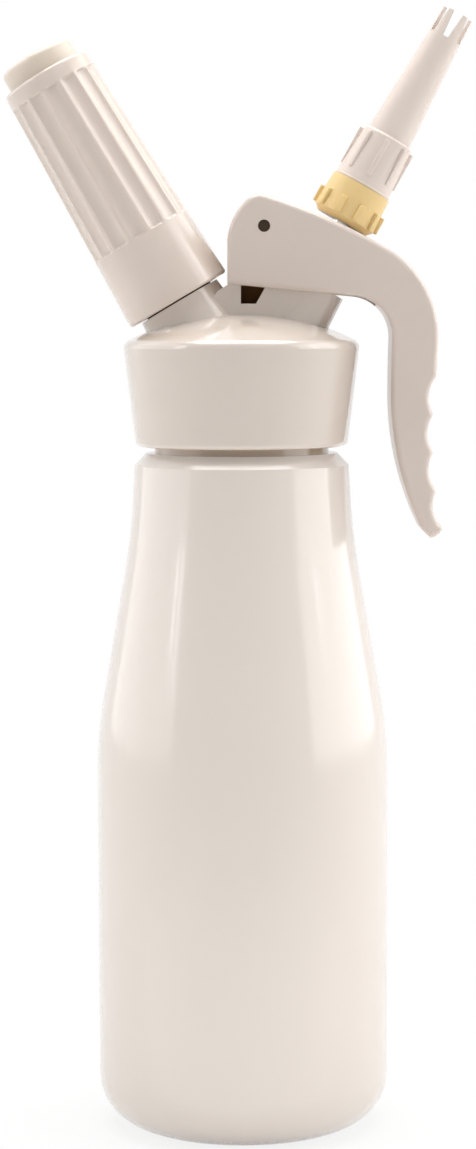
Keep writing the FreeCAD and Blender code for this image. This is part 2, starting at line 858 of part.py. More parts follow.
sleeve_top = holder_foot + size("sleeve_length")
foot_radius, top_radius = size("sleeve_foot_radius"), size("sleeve_top_radius")
sleeve_round, mouth_round = size("sleeve_round"), size("mouth_round")
sleeve = charger_piece("charger_sleeve", [
    (skirt_wall, holder_foot),
    (foot_radius - mouth_round, holder_foot, mouth_round),
    (foot_radius, holder_foot + mouth_round),
    (top_radius, sleeve_top - sleeve_round, sleeve_round),
    (top_radius - sleeve_round, sleeve_top),
    (cup_radius, sleeve_top),
    (cup_radius, cup_step + cup_round),
    (skirt_wall, cup_step),
])
flute_foot, flute_top = holder_foot + size("flute_foot"), sleeve_top - size("flute_top")
taper = (foot_radius - top_radius) / size("sleeve_length")
flute_out = size("flute_radius") - size("flute_depth")
flute_ends = [
    (foot_radius - taper * (along - holder_foot) + flute_out, along) for along in (flute_foot, flute_top)
]
flute = groove(sleeve, "flute", [
    flute_ends[0],
    flute_ends[1],
    (flute_ends[1][0] - size("flute_radius"), flute_ends[1][1]),
    (flute_ends[0][0] - size("flute_radius"), flute_ends[0][1]),
], "Axis0", flute_ends)
around(sleeve, flute, "flutes", size("flute_count"))


# Valve: a metal guide in the stub, a bush at its top, and the hollow stem with its seals.
guide_bore = guide_radius - size("guide_wall")
valve_piece("valve_sleeve", ring(guide_bore, guide_radius, guide_foot, bracket_top))
stem, stem_gap = size("stem_radius"), size("stem_clearance")
bush_bore, flange_top = stem + stem_gap, bracket_top + size("bush_flange")
valve_piece("guide_bush", [
    (bush_bore, bracket_top - size("bush_length")),
    (guide_bore, bracket_top - size("bush_length")),
    (guide_bore, bracket_top),
    (size("bush_flange_radius"), bracket_top),
    (size("bush_flange_radius"), flange_top),
    (bush_bore, flange_top),
])
seal_top = valve_face - face_gap
seal_foot = seal_top - size("valve_seal_thickness")
seal_nut_foot = seal_foot - size("seal_nut_height")
shoulder = size("shoulder_radius")
piston_foot = size("piston_height")
piston_top = piston_foot + size("piston_length")
ring_wire, piston = size("ring_wire"), guide_bore - stem_gap
ring_place = (piston_foot + piston_top) / 2
groove_floor = piston - ring_wire
washer_foot = size("washer_height")
washer_top = washer_foot + size("washer_thickness")
stem_top = size("stem_top")
stem_bore, port = size("stem_bore"), size("port_height")
stem_body = valve_piece("piston_stem", [
    (0, seal_nut_foot),
    (stem, seal_nut_foot),
    (stem, seal_top),
    (shoulder, seal_top),
    (shoulder, seal_top + size("valve_seal_thickness")),
    (stem, seal_top + size("valve_seal_thickness")),
    (stem, piston_foot),
    (piston, piston_foot),
    (piston, ring_place - ring_wire / 2),
    (groove_floor, ring_place - ring_wire / 2),
    (groove_floor, ring_place + ring_wire / 2),
    (piston, ring_place + ring_wire / 2),
    (piston, piston_top),
    (stem, piston_top),
    (stem, stem_top),
    (stem_bore, stem_top),
    (stem_bore, port - 2 * size("port_radius")),
    (0, port - 2 * size("port_radius")),
])
port_sketch = draw(stem_body, "port_outline", round_section(Size.of(0), port, size("port_radius")))
extrude(stem_body, port_sketch, "port", 2 * (stem + overcut), "PartDesign::Pocket", centred=True)
valve_piece("piston_o_ring", round_section(piston - ring_wire / 2, ring_place, ring_wire / 2))
valve_piece("valve_seal", ring(stem, size("valve_seal_radius"), seal_foot, seal_top))
six_sided("seal_nut", size("seal_nut_radius"), stem, seal_nut_foot, size("seal_nut_height"),
          valve_lean, valve_height)
valve_piece("thrust_washer", ring(stem, size("washer_radius"), washer_foot, washer_top))


# Springs.
def coil(label, radius, wire, turns, foot, top, lean, axis_height):
    feature = doc.addObject("Part::Feature", label)
    feature.Shape = spring_shape(radius.value, wire.value, turns.value, foot.value, top.value)
    feature.Placement = Placement(Vector(0, 0, axis_height.value), Rotation(Vector(0, 1, 0), lean.value))
    return feature


coil("return_spring", size("spring_radius"), size("spring_wire"), size("spring_turns"),
     flange_top, washer_foot, valve_lean, valve_height)
coil("check_valve_spring", size("check_spring_radius"), size("check_wire"), size("check_turns"),
     plug_top, poppet_foot, charger_lean, charger_height)


# Lever: the side outline, then the channel over the bracket, the stem's slot and the pin's hole.
heel_x = size("lever_heel")
crown = (size("lever_crown"), above("lever_crown_height"))
brow = (size("lever_brow"), above("lever_brow_height"))
knuckle = (size("lever_knuckle"), above("lever_knuckle_height"))
grip_top, grip_pitch, grip_bend = above("grip_top"), size("grip_pitch"), size("grip_bend")


def grip_edge(step):
    """The ridge between two finger scallops, counted from the top of the grip."""
    middle = step - size("grip_middle")
    return size("grip_front") + size("grip_sweep") * middle * middle, grip_top - grip_pitch * step


lever = new_body("lever")
lever_outline = [
    (heel_x, above("lever_heel_foot")),
    (size("throat_top"), above("throat_top_height"), SMOOTH),
    (size("throat_side"), above("throat_side_height"), SMOOTH),
    (size("grip_back"), above("grip_back_height"), SMOOTH),
    (size("tip_heel"), above("tip_heel_height")),
    (size("tip_foot"), above("tip_foot_height"), size("tip_bend")),
]
ridges = [grip_edge(step) for step in range(int(size("grip_scallops").value), -1, -1)]
lever_outline += [(x, z, -grip_bend) for x, z in ridges[:-1]]
lever_outline += [
    ridges[-1],
    (knuckle[0], knuckle[1], SMOOTH),
    (brow[0], brow[1], SMOOTH),
    (crown[0], crown[1], SMOOTH),
    (size("crown_side"), above("crown_side_height"), SMOOTH),
    (heel_x, above("lever_heel_top")),
]
lever_width, channel_half = size("lever_width"), size("lever_width") / 2 - size("lever_wall")
lever_sketch = draw(lever, "lever_outline", lever_outline)
lever_side = extrude(lever, lever_sketch, "lever_side", lever_width, centred=True)
ridge_places = [Vector(x.value, 0, z.value) for x, z in ridges[1:-1]]


def on_a_ridge(edge):
    return any((edge.CenterOfMass - place).Length < NEAR_PLACE for place in ridge_places)


def along_a_side(edge):
    sides = [vertex.Point.y for vertex in edge.Vertexes]
    on_side = all(abs(abs(y) - lever_width.value / 2) < SAME_PLACE for y in sides)
    return on_side and abs(sides[0] - sides[-1]) < SAME_PLACE


ridge_rounds = round_edges(lever, lever_side, "ridge_rounds", size("ridge_round"), on_a_ridge)
round_edges(lever, ridge_rounds, "side_rounds", size("edge_round"), along_a_side)
roof, roof_lean = size("lever_roof"), size("lever_roof_lean")
ear_room = ear + size("ear_clearance")
channel = draw(lever, "channel_outline", [
    (heel_x - far_cut, above("lever_heel_foot") - far_cut),
    (size("channel_end"), above("throat_top_height") - far_cut),
    (brow[0] - roof * sine(roof_lean), brow[1] - roof * cosine(roof_lean), size("lever_roof_bend") - roof),
    (pin_x, pin_z + ear_room, ear_room),
    (pin_x - ear_room, pin_z),
    (pin_x - ear_room, above("lever_heel_top")),
    (heel_x - far_cut, above("lever_heel_top") - roof),
])
extrude(lever, channel, "channel", 2 * channel_half, "PartDesign::Pocket", centred=True)
nib_radius, nib_low = size("nib_radius"), washer_top + size("nib_clearance")
nib_place = leaning(valve_lean, valve_height, Size.of(0), nib_low + nib_radius)
extrude(lever, draw(lever, "nib_outline", round_section(nib_place[0], nib_place[1], nib_radius)),
        "nib", 2 * channel_half + overcut, centred=True)
slot_half, slot_run = stem + size("slot_clearance"), size("slot_run")
slot = draw(lever, "slot_outline", leaning_outline(valve_lean, valve_height, [
    (-slot_half - slot_run, nib_low - overcut),
    (slot_half + slot_run, nib_low - overcut),
    (slot_half + slot_run, size("holder_foot") + far_cut),
    (-slot_half - slot_run, size("holder_foot") + far_cut),
]))
extrude(lever, slot, "slot", 2 * slot_half, "PartDesign::Pocket", centred=True)
pin_hole(lever, "lever_pin_hole", pin_radius + size("pin_clearance"), lever_width + 2 * overcut)


# Yellow nozzle holder: floor, cup body with bars, and a stud for the tip.
holder_foot_along, holder_radius = size("holder_foot"), size("holder_radius")
holder_top = holder_foot_along + size("holder_height")
stud, stud_bore = size("stud_radius"), size("stud_bore")
stud_top = holder_top + size("stud_height")
holder_chamfer = size("holder_chamfer")
nozzle_holder = valve_piece("nozzle_holder", [
    (stem, holder_foot_along),
    (holder_radius - holder_chamfer, holder_foot_along),
    (holder_radius, holder_foot_along + holder_chamfer),
    (size("holder_top_radius"), holder_top),
    (stud, holder_top),
    (stud, stud_top),
    (stud_bore, stud_top),
    (stud_bore, stem_top),
    (stem, stem_top),
])
bar_foot = holder_foot_along + size("holder_bar_start")
bar_top = bar_foot + size("holder_bar_length")
bar_outline = draw(nozzle_holder, "bar_outline", [
    (stud, bar_foot),
    (holder_radius + size("holder_bar_rise"), bar_foot),
    (holder_radius + size("holder_bar_rise"), bar_top),
    (stud, bar_top),
])
bar = extrude(nozzle_holder, bar_outline, "bar", size("holder_bar_width"), centred=True)
around(nozzle_holder, bar, "bars", size("holder_bars"))

tip_seal_top = stud_top + face_gap + size("tip_seal_thickness")
valve_piece("tip_seal", ring(stud_bore, stud, stud_top + face_gap, tip_seal_top))

# Piping tip: wide ribbed base over the stud, a step, and a long spout that ends in teeth.
tip_foot = holder_top + size("tip_gap")
tip_bore = stud + size("thread_clearance")
step_foot = tip_foot + size("tip_base_length")
tip_end, tip_end_radius, tip_wall = size("tip_end"), size("tip_end_radius"), size("tip_wall")
spout = size("tip_spout_radius")
tip_ceiling = tip_seal_top + face_gap
nozzle_tip = valve_piece("nozzle_tip", [
    (tip_bore, tip_foot),
    (size("tip_base_radius"), tip_foot),
    (size("tip_base_top"), step_foot),
    (spout, step_foot + size("tip_step")),
    (tip_end_radius, tip_end),
    (tip_end_radius - tip_wall, tip_end),
    (spout - 2 * tip_wall, step_foot),
    (stud_bore + tip_wall, tip_ceiling),
    (tip_bore, tip_ceiling),
])
rib_top = step_foot - size("tip_step")
rib_outline = draw(nozzle_tip, "rib_outline", [
    (spout, rib_top - size("rib_length")),
    (size("rib_radius"), rib_top - size("rib_length")),
    (size("rib_radius"), rib_top),
    (spout, rib_top),
])
rib = extrude(nozzle_tip, rib_outline, "rib", size("rib_width"), centred=True)
around(nozzle_tip, rib, "ribs", size("rib_count"))
slot_foot = tip_end - size("tooth_length")
tooth_gap = draw(nozzle_tip, "tooth_gap_outline", [
    (-size("tooth_slot_foot") / 2, slot_foot),
    (size("tooth_slot_foot") / 2, slot_foot),
    (size("tooth_slot_mouth") / 2, tip_end + overcut),
    (-size("tooth_slot_mouth") / 2, tip_end + overcut),
])
gap = extrude(nozzle_tip, tooth_gap, "tooth_gap", 2 * tip_end_radius, "PartDesign::Pocket")
around(nozzle_tip, gap, "teeth", size("tooth_count"))


doc.recompute()
pieces = [item for item in doc.Objects if item.TypeId == "PartDesign::Body" or item.Label in (
    "hinge_pin", "return_spring", "check_valve_spring")]
for item in doc.Objects:
    if {"Invalid", "Error"} & set(item.State):
        raise RuntimeError(f"{item.Label} failed: {item.State}")
for item in pieces:
    if item.Shape.isNull() or not item.Shape.isValid() or not item.Shape.Solids:
        raise RuntimeError(f"{item.Label} has no sound solid")
os.makedirs("parts", exist_ok=True)
for item in pieces:
    print(f"{item.Label}: {len(item.Shape.Solids)} solid, {item.Shape.Volume / 1000:.2f} cm3")
    item.Shape.exportStep(f"parts/{item.Label}.step")
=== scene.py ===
"""Looks of a whipped cream dispenser: finishes, threads, grips and a plain studio round its solids."""

import json
import math

import bmesh
import bpy
import numpy as np
from bpy.props import FloatProperty, FloatVectorProperty, IntProperty, PointerProperty
from bpy.types import Operator, Panel, PropertyGroup
from mathutils import Matrix, Vector


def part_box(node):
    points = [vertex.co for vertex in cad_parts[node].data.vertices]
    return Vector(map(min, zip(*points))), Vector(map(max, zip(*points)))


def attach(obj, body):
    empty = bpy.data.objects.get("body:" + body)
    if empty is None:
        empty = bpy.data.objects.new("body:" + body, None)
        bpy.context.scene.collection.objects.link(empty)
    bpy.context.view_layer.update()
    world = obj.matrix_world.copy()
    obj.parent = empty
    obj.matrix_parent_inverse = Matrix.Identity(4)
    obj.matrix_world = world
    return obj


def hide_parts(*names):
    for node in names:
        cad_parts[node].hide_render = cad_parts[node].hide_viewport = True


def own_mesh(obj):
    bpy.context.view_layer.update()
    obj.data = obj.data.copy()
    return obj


bl_info = {
    "name": "Cream Dispenser",
    "version": (1, 0, 0),
    "blender": (4, 5, 0),
    "location": "View3D > Sidebar > Dispenser",
    "description": "Finishes, threads, grips and a studio for a whipped cream dispenser",
    "category": "Object",
}

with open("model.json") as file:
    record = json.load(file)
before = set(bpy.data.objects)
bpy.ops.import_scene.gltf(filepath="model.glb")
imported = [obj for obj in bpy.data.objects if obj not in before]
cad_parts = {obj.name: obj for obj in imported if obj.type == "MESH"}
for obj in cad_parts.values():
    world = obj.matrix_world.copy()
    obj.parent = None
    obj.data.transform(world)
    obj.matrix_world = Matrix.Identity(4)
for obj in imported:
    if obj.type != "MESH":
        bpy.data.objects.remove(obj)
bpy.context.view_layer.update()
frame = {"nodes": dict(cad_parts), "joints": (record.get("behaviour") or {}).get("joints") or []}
joints = {joint["name"]: joint for joint in frame["joints"]}

MM = 0.001
FULL_TURN = 2 * math.pi
CREASE = math.radians(32)

# the box in the lever's bracket's blind pocket where a shadow is painted into the head's plastic
POCKET_SHADE_LOW = Vector((-0.15, -8.5, 231.0)) * MM
POCKET_SHADE_HIGH = Vector((9.5, 6.0, 239.5)) * MM

# turning marks in each metre along bare metal
MARKS_PER_METRE = 9000.0

# how much larger than the solid's bars their rounded covers are: rise, width and length
BAR_COVER = (1.9, 1.15, 1.05)

# the height in metres that the lamps aim at
LAMPS_AIM = 0.16

# lamps in metres, each with its width and height and its place
SIDE_LAMP = ((2.2, 1.7), Vector((1.45, 0.1, 0.88)))
SIDE_SHARES = {"left": (-1, 0.75), "right": (1, 1.3)}
TOP_LAMP = ((1.2, 1.2), Vector((0.0, 0.1, 1.3)))
FRONT_LAMP = ((1.3, 0.7), Vector((0.0, -1.2, 1.25)))
TABLE_GLOW = ((0.6, 0.3), Vector((0.0, -0.2, 0.002)))

# narrow lamps on a circle round the object: degrees from the front, and share of their brightness
STRIP_SIZE = (0.035, 0.6)
STRIPS_AWAY = 1.1
STRIPS_HEIGHT = 0.62
STRIPS = ((-66, 0.7), (-61, 0.55), (75, 0.5), (80, 0.4))


# Places and sizes that the solids give


def corners(node):
    """A solid's corner points as rows of x, y, z."""
    mesh = frame["nodes"][node].data
    points = np.zeros(len(mesh.vertices) * 3)
    mesh.vertices.foreach_get("co", points)
    return points.reshape(-1, 3)


class Line:
    """A leaning line that starts on the bottle's axis and carries turned pieces."""

    def __init__(self, slide, turn):
        self.way = Vector(joints[slide]["axis"]).normalized()
        on_line = Vector(joints[turn]["pos_m"])
        self.start = on_line - self.way * (on_line.x / self.way.x)

    def matrix(self):
        """Stands what was drawn along Z on this line."""
        lean = Matrix.Rotation(math.atan2(self.way.x, self.way.z), 4, "Y")
        return Matrix.Translation(self.start) @ lean

    def seen(self, node):
        """How far along the line, and how far from it, each corner of a solid lies."""
        offsets = corners(node) - np.array(self.start)
        along = offsets @ np.array(self.way)
        aside = np.linalg.norm(offsets - np.outer(along, np.array(self.way)), axis=1)
        return along, aside

    def span(self, node):
        along = self.seen(node)[0]
        return float(along.min()), float(along.max())

    def radius(self, node, low, high):
        """The largest radius of a solid between two heights on the line."""
        along, aside = self.seen(node)
        return float(aside[(along >= low) & (along <= high)].max())


charger_line = Line("holder_travel", "holder_turn")
valve_line = Line("tip_travel", "tip_turn")
bottle_low, bottle_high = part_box("bottle")


# Node trees written as expressions


class Wire:
    """An output of a node that can stand in a Python expression."""

    def __init__(self, graph, node, output=0):
        self.graph = graph
        self.node = node
        self.socket = node.outputs[output] if node.outputs else None

    def __getitem__(self, output):
        return Wire(self.graph, self.node, output)

    def maths(self, operation, *values):
        return self.graph.add("ShaderNodeMath", {"operation": operation}, dict(enumerate(values)))

    def __add__(self, other):
        return self.maths("ADD", self, other)

    def __sub__(self, other):
        return self.maths("SUBTRACT", self, other)

    def __mul__(self, other):
        return self.maths("MULTIPLY", self, other)

    def __truediv__(self, other):
        return self.maths("DIVIDE", self, other)

    def __pow__(self, other):
        return self.maths("POWER", self, other)

    def __rsub__(self, other):
        return self.maths("SUBTRACT", other, self)

    def __rtruediv__(self, other):
        return self.maths("DIVIDE", other, self)

    __radd__ = __add__
    __rmul__ = __mul__

    def least(self, other):
        return self.maths("MINIMUM", self, other)

    def most(self, other):
        return self.maths("MAXIMUM", self, other)

    def cosine(self):
        return self.maths("COSINE", self)

    def sine(self):
        return self.maths("SINE", self)

    def size(self):
        return self.maths("ABSOLUTE", self)


class Graph:
    """A node tree that is being filled."""

    def __init__(self, tree):
        self.tree = tree
        self.tree.nodes.clear()

    def add(self, kind, settings=None, inputs=None, output=0):
        """One node: its settings first, then the values or wires of its inputs."""
        node = self.tree.nodes.new(kind)
        for name, value in (settings or {}).items():
            setattr(node, name, value)
        for key, value in (inputs or {}).items():
            if isinstance(value, Wire):
                self.tree.links.new(value.socket, node.inputs[key])
            else:
                node.inputs[key].default_value = value
        return Wire(self, node, output)

    def mix(self, share, first, second):
        """A colour between two colours."""
        return self.add("ShaderNodeMix", {"data_type": "RGBA"}, {0: share, 6: first, 7: second}, 2)

    def ease(self, value, low, high):
        """0 below low, 1 above high and a smooth way between."""
        inputs = {"Value": value, "From Min": low, "From Max": high}
        return self.add("ShaderNodeMapRange", {"interpolation_type": "SMOOTHSTEP"}, inputs)

    def vector(self, operation, *values, output=0):
        return self.add("ShaderNodeVectorMath", {"operation": operation}, dict(enumerate(values)), output)


# Finishes


def rgba(colour):
    return (*colour, 1.0)


def shade(colour, factor):
    return tuple(part * factor for part in colour)


class Surface(Graph):
    """A material with one Principled shader, filled by expressions."""

    def __init__(self, name):
        self.material = bpy.data.materials.new(name)
        self.material.use_nodes = True
        super().__init__(self.material.node_tree)
        self.place = self.add("ShaderNodeTexCoord", output="Object")

    def noise(self, scale, detail=2.0, roughness=0.5, place=None):
        inputs = {"Vector": place or self.place, "Scale": scale, "Detail": detail, "Roughness": roughness}
        return self.add("ShaderNodeTexNoise", inputs=inputs)

    def bump(self, height, depth, strength=1.0, below=None):
        inputs = {"Height": height, "Distance": depth, "Strength": strength}
        if below:
            inputs["Normal"] = below
        return self.add("ShaderNodeBump", inputs=inputs)

    def close(self, **sockets):
        """Sets the shader's sockets by their names, with _ for each space, and ends the tree."""
        inputs = {name.replace("_", " "): value for name, value in sockets.items()}
        shader = self.add("ShaderNodeBsdfPrincipled", inputs=inputs)
        self.add("ShaderNodeOutputMaterial", inputs={"Surface": shader})
        return self.material


def enamel(name, colour, scuffed_below, neck_shade, neck_shade_above):
    """Glossy paint on drawn metal: orange peel, scuffs round the base, and a warmer, darker neck that paints
    the shade in the gap under the head.
    """
    surface = Surface(name)
    slow = surface.noise(14.0, 3.0)
    peel = surface.noise(420.0, 2.0, 0.4)
    dust = surface.noise(2600.0, 1.0)
    height = surface.add("ShaderNodeSeparateXYZ", inputs={"Vector": surface.place}, output="Z")
    near_base = 1.0 - surface.ease(height, scuffed_below * 0.3, scuffed_below)
    scuffs = near_base * surface.ease(surface.noise(900.0, 6.0, 0.7), 0.5, 0.62)
    tone = surface.mix(slow * 0.5 + dust * 0.12, rgba(shade(colour, 0.975)), rgba(shade(colour, 1.03)))
    tone = surface.mix(scuffs * 0.35, tone, rgba(shade(colour, 0.6)))
    # painted shade: above the ledge the whole neck takes a warm brown for the shade in the gap under the head
    neck_shade_share = surface.ease(height, neck_shade_above, neck_shade_above + 0.4 * MM)
    tone = surface.mix(neck_shade_share, tone, rgba(neck_shade))
    return surface.close(
        Base_Color=tone,
        Roughness=0.13 + slow * 0.05 + dust * 0.04 + scuffs * 0.3,
        Coat_Weight=0.5 - scuffs * 0.4,
        Coat_Roughness=0.09,
        Normal=surface.bump(peel, 0.06 * MM, 0.35),
    )


def moulding(name, colour, roughness, grain=0.25, coat=0.2, pocket=None, seam=False):
    """Moulded plastic with fine grain and flow marks, and where asked a shadow painted into a pocket or a
    parting line.
    """
    surface = Surface(name)
    flow = surface.noise(32.0, 4.0, 0.6)
    fine = surface.noise(1500.0, 2.0)
    specks = surface.noise(3800.0, 1.0)
    tone = surface.mix(flow * 0.6 + specks * 0.15, rgba(shade(colour, 0.97)), rgba(shade(colour, 1.03)))
    gloss = (roughness - 0.04) + flow * 0.06 + specks * 0.05
    if pocket:
        # painted shadow: inside the pocket's box the colour turns dark brown, the roughness rises and the
        # coat goes
        shadow = inside_box(surface, POCKET_SHADE_LOW, POCKET_SHADE_HIGH)
        tone = surface.mix(shadow, tone, rgba(pocket))
        gloss = gloss + shadow * 0.8
        coat = coat - shadow * coat
    normal = surface.bump(fine, 0.03 * MM, grain)
    if seam:
        side = surface.add("ShaderNodeSeparateXYZ", inputs={"Vector": surface.place}, output="Y")
        ridge = 1.0 - surface.ease(side.size(), 0.0, 0.18 * MM)
        normal = surface.bump(ridge, 0.08 * MM, 1.0, normal)
    return surface.close(
        Base_Color=tone,
        Roughness=gloss,
        Coat_Weight=coat,
        Coat_Roughness=0.1,
        Subsurface_Weight=0.12,
        Subsurface_Radius=(1.0, 0.7, 0.5),
        Subsurface_Scale=1.5 * MM,
        IOR=1.49,
        Normal=normal,
    )


def inside_box(surface, low, high):
    """1 inside a box and 0 outside it."""
    inside = 1.0
    parts = surface.add("ShaderNodeSeparateXYZ", inputs={"Vector": surface.place})
    for axis, bottom, top in zip("XYZ", low, high):
        part = parts[axis]
        inside = surface.ease(part, bottom, bottom + 0.1 * MM) * inside
        inside = (1.0 - surface.ease(part, top - 0.1 * MM, top)) * inside
    return inside


def milky(name, colour):
    """Milky plastic of a thin wall, softly glossy."""
    surface = Surface(name)
    flow = surface.noise(60.0, 3.0, 0.6)
    fine = surface.noise(1800.0, 2.0)
    return surface.close(
        Base_Color=surface.mix(flow, rgba(shade(colour, 0.97)), rgba(shade(colour, 1.03))),
        Roughness=0.2 + flow * 0.08,
        IOR=1.46,
        Normal=surface.bump(fine, 0.03 * MM, 0.25),
    )


def metal(name, colour, roughness, marks, along=None):
    """Bare metal with fine turning marks round a line, or an even grain where no line is given."""
    surface = Surface(name)
    stains = surface.noise(70.0, 4.0, 0.65)
    if along:
        offset = surface.vector("SUBTRACT", surface.place, tuple(along.start))
        height = surface.vector("DOT_PRODUCT", offset, tuple(along.way), output="Value")
        across = surface.add("ShaderNodeCombineXYZ", inputs={"X": height * MARKS_PER_METRE})
        ridges = surface.noise(1.0, 2.0, 0.6, across)
    else:
        ridges = surface.noise(2500.0, 3.0, 0.6)
    tone = surface.mix(stains * 0.5 + ridges * 0.3, rgba(shade(colour, 0.86)), rgba(colour))
    return surface.close(
        Base_Color=tone,
        Metallic=1.0,
        Roughness=roughness + stains * 0.08 + ridges * 0.05,
        Normal=surface.bump(ridges, 0.01 * MM, marks),
    )


def rubber(name, colour):
    surface = Surface(name)
    fine = surface.noise(1800.0, 4.0, 0.7)
    bloom = surface.noise(120.0, 3.0)
    return surface.close(
        Base_Color=surface.mix(bloom * 0.6, rgba(shade(colour, 0.85)), rgba(shade(colour, 1.15))),
        Roughness=0.6 + fine * 0.2,
        Normal=surface.bump(fine, 0.05 * MM, 0.5),
    )


# Meshes


def put(name, mesh, body, slot, material, *replaced):
    """A finished piece on its body, in place of the solids it stands for."""
    piece = bpy.data.objects.new(name, mesh)
    bpy.context.scene.collection.objects.link(piece)
    mesh.materials.clear()
    mesh.materials.append(material)
    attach(piece, body)
    if replaced:
        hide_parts(*replaced)
    return piece


def dress(material, *nodes):
    """Gives solids that stay as they are their finish."""
    for node in nodes:
        frame["nodes"][node].data.materials.clear()
        frame["nodes"][node].data.materials.append(material)


def closing_spring(node, line, material, slot):
    """A spring that rides on the head: a copy of its solid's mesh with doubled points merged, in place of the
    solid.
    """
    shape = bmesh.new()
    shape.from_mesh(frame["nodes"][node].data)
    bmesh.ops.remove_doubles(shape, verts=shape.verts, dist=0.001 * MM)
    mesh = bpy.data.meshes.new(f"{node}_coil")
    shape.to_mesh(mesh)
    shape.free()
    piece = put(f"{node}_coil", soft_shaded(mesh, math.radians(60)), "head", slot, material, node)
    low, high = line.span(node)
    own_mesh(piece)


def eased_corner(before, corner, after, radius, steps):
    """The points of a round that replaces one corner of an outline."""
    before, corner, after = Vector(before), Vector(corner), Vector(after)
    into, out = (before - corner).normalized(), (after - corner).normalized()
    half = into.angle(out) / 2
    reach = min(radius / math.tan(half), (before - corner).length / 2, (after - corner).length / 2)
    radius = reach * math.tan(half)
    centre = corner + (into + out).normalized() * (radius / math.sin(half))
    first, last = corner + into * reach - centre, corner + out * reach - centre
    turn = first.angle_signed(last)
    return [tuple(centre + first @ Matrix.Rotation(turn * step / steps, 2)) for step in range(steps + 1)]


def eased(outline, steps=5):
    """An outline of (x, z) or (x, z, radius) corners with each given radius rounded."""
    points = []
    for index, corner in enumerate(outline):
        if len(corner) == 2:
            points.append(corner)
            continue
        before, after = outline[index - 1], outline[(index + 1) % len(outline)]
        points += eased_corner(before[:2], corner[:2], after[:2], corner[2], steps)
    return points


def turned(name, outline, steps, place):
    """A mesh spun from a closed outline of (radius, height) points, then put in its place."""
    shape = bmesh.new()
    angles = [FULL_TURN * step / steps for step in range(steps)]
    rings = []
    for radius, height in outline:
        rings.append([shape.verts.new((radius * math.cos(a), radius * math.sin(a), height)) for a in angles])
    for ring, following in zip(rings, rings[1:] + rings[:1]):
        for step in range(steps):
            after = (step + 1) % steps
            shape.faces.new([ring[step], ring[after], following[after], following[step]])
    bmesh.ops.recalc_face_normals(shape, faces=shape.faces)
    shape.transform(place)
    mesh = bpy.data.meshes.new(name)
    shape.to_mesh(mesh)
    shape.free()
    return soft_shaded(mesh)


def soft_shaded(mesh, crease=CREASE):
    mesh.shade_smooth()
    mesh.set_sharp_from_angle(angle=crease)
    return mesh


# Geometry Nodes


class Pattern(Graph):
    """A Geometry Nodes tree with named inputs that ends in one material."""

    SOCKETS = {float: "NodeSocketFloat", int: "NodeSocketInt"}

    def __init__(self, name, **sizes):
        tree = bpy.data.node_groups.new(name, "GeometryNodeTree")
        super().__init__(tree)
        tree.interface.new_socket("Geometry", in_out="INPUT", socket_type="NodeSocketGeometry")
        self.keys = {}
        for size, value in sizes.items():
            kind = self.SOCKETS[type(value)]
            socket = tree.interface.new_socket(size, in_out="INPUT", socket_type=kind)
            self.keys[size] = (socket.identifier, value)
        tree.interface.new_socket("Geometry", in_out="OUTPUT", socket_type="NodeSocketGeometry")
        self.given = self.add("NodeGroupInput")

    def input(self, name):
        return self.given[name]

    def moved(self, geometry, position):
        return self.add("GeometryNodeSetPosition", inputs={"Geometry": geometry, "Position": position})

    def point(self, x, y, z):
        return self.add("ShaderNodeCombineXYZ", inputs={"X": x, "Y": y, "Z": z})

    def finish(self, geometry, material):
        real = self.add("GeometryNodeRealizeInstances", inputs={"Geometry": geometry})
        coloured = self.add("GeometryNodeSetMaterial", inputs={"Geometry": real, "Material": material})
        self.add("NodeGroupOutput", inputs={"Geometry": coloured})

    def made(self, name, place, start=None, crease=CREASE):
        """The plain mesh that the tree makes from a start mesh, put in its place."""
        start = start or bpy.data.meshes.new(f"{name}_start")
        holder = bpy.data.objects.new(f"{name}_holder", start)
        bpy.context.scene.collection.objects.link(holder)
        modifier = holder.modifiers.new(self.tree.name, "NODES")
        modifier.node_group = self.tree
        for identifier, value in self.keys.values():
            modifier[identifier] = value
        ready = holder.evaluated_get(bpy.context.evaluated_depsgraph_get())
        mesh = bpy.data.meshes.new_from_object(ready)
        mesh.name = name
        bpy.data.objects.remove(holder)
        mesh.transform(place)
        return soft_shaded(mesh, crease)


def thread(name, place, material, radius, foot, top, pitch, depth):
    """A screw thread: one ridge that climbs round a cylinder and fades out at both ends."""
    turns = (top - foot) / pitch - 1
    pattern = Pattern(
        f"{name}_rule", Radius=radius, Foot=foot + pitch / 2, Turns=turns, Pitch=pitch, Depth=depth, Steps=72)
    total = pattern.input("Turns") * pattern.input("Steps")
    line = pattern.add("GeometryNodeMeshLine", inputs={"Count": total})
    turn = pattern.add("GeometryNodeInputIndex") / pattern.input("Steps")
    angle = turn * FULL_TURN
    height = pattern.input("Foot") + turn * pattern.input("Pitch")
    across = pattern.input("Radius") - pattern.input("Depth") * 0.2
    helix = pattern.moved(line, pattern.point(angle.cosine() * across, angle.sine() * across, height))
    curve = pattern.add("GeometryNodeMeshToCurve", inputs={"Mesh": helix})
    upright = pattern.add("GeometryNodeSetCurveNormal", {"mode": "Z_UP"}, {"Curve": curve})
    to_end = turn.least(pattern.input("Turns") - turn)
    swell = pattern.ease(to_end, 0.0, 0.35) * 0.8 + 0.2
    tapered = pattern.add("GeometryNodeSetCurveRadius", inputs={"Curve": upright, "Radius": swell})
    section = pattern.add("GeometryNodeCurvePrimitiveCircle", inputs={"Resolution": 12, "Radius": 1.0})
    flat = pattern.point(pattern.input("Depth"), pattern.input("Pitch") * 0.3, 1.0)
    section = pattern.add("GeometryNodeTransform", inputs={"Geometry": section, "Scale": flat})
    pattern.finish(pattern.add("GeometryNodeCurveToMesh", inputs={
        "Curve": tapered, "Profile Curve": section, "Fill Caps": True}), material)
    return pattern.made(name, place, crease=math.radians(60))


